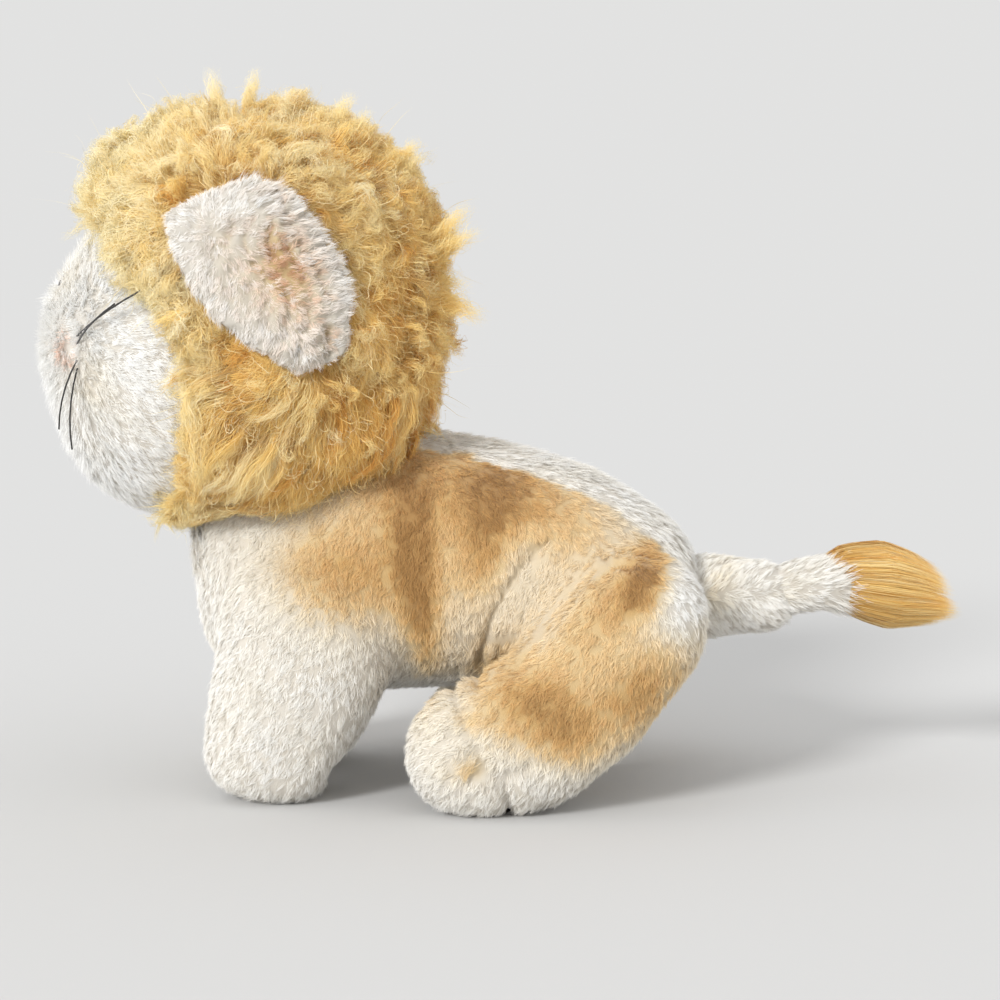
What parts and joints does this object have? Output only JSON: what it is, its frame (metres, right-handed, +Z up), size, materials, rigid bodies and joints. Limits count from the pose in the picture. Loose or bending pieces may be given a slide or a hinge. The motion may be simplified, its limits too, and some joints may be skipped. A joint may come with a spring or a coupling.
{
  "type": "plush lion",
  "caption": "Standing plush lion with a short pile body, a long pile mane, ears that fold out from the head and a tail that lifts and bends.",
  "frame": {"origin": "on the surface that the four paws stand on, under the middle of the lion's outer box", "axes": "+Z up, +X towards the tail, so the face looks along -X; +Y towards the lion's right side"},
  "size_m": [0.3594, 0.1714, 0.2645],
  "materials": {
    "cream_plush": "short cream pile with airbrushed tan shading",
    "tan_plush": "short tan pile",
    "gold_pile": "long curly gold pile with ochre roots",
    "wadding": "loose white polyester fibre",
    "eye_plastic": "domed glossy dark brown",
    "washer_plastic": "plain moulded white",
    "nose_felt": "dusty pink felt",
    "black_thread": "stiff black nylon thread"
  },
  "bodies": {
    "lion": {"body_side_left": "cream_plush", "body_side_right": "cream_plush", "back_strip": "cream_plush", "belly_panel": "cream_plush", "body_stuffing": "wadding", "front_leg_left": "cream_plush", "front_leg_right": "cream_plush", "front_sole_left": "cream_plush", "front_sole_right": "cream_plush", "front_leg_stuffing_left": "wadding", "front_leg_stuffing_right": "wadding", "hind_leg_left": "cream_plush", "hind_leg_right": "cream_plush", "hind_sole_left": "tan_plush", "hind_sole_right": "tan_plush", "hind_leg_stuffing_left": "wadding", "hind_leg_stuffing_right": "wadding", "face_panel": "cream_plush", "mane": "gold_pile", "head_stuffing": "wadding", "nose": "nose_felt", "eye_left": "eye_plastic", "eye_right": "eye_plastic", "eye_washer_left": "washer_plastic", "eye_washer_right": "washer_plastic", "whisker_upper_long_left": "black_thread", "whisker_upper_long_right": "black_thread", "whisker_upper_short_left": "black_thread", "whisker_upper_short_right": "black_thread", "whisker_lower_long_left": "black_thread", "whisker_lower_long_right": "black_thread", "whisker_lower_short_left": "black_thread", "whisker_lower_short_right": "black_thread"},
    "left_ear": {"ear_front_left": "cream_plush", "ear_back_left": "cream_plush"},
    "right_ear": {"ear_front_right": "cream_plush", "ear_back_right": "cream_plush"},
    "tail_root": {"tail_root": "cream_plush", "tail_root_stuffing": "wadding"},
    "tail_end": {"tail_end": "cream_plush", "tail_end_stuffing": "wadding", "tail_tuft": "gold_pile"}
  },
  "joints": [
    {"name": "left_ear_fold", "type": "hinge", "parent": "lion", "child": "left_ear", "pos_m": [-0.05689, -0.06643, 0.165], "axis": [0.7572, 0, 0.6532], "range_deg": [0, 80], "stiffness_Nm_per_rad": 0.003, "springref_deg": -5.73},
    {"name": "right_ear_fold", "type": "hinge", "parent": "lion", "child": "right_ear", "pos_m": [-0.05689, 0.06643, 0.165], "axis": [-0.7572, 0, -0.6532], "range_deg": [0, 80], "stiffness_Nm_per_rad": 0.003, "springref_deg": -5.73},
    {"name": "tail_lift", "type": "hinge", "parent": "lion", "child": "tail_root", "pos_m": [0.08261, 0, 0.073], "axis": [0, -1, 0], "range_deg": [-25, 25], "stiffness_Nm_per_rad": 0.05, "springref_deg": 2.06},
    {"name": "tail_bend", "type": "hinge", "parent": "tail_root", "child": "tail_end", "pos_m": [0.11361, 0, 0.077], "axis": [0, 0, 1], "range_deg": [-25, 25], "stiffness_Nm_per_rad": 0.02}
  ]
}
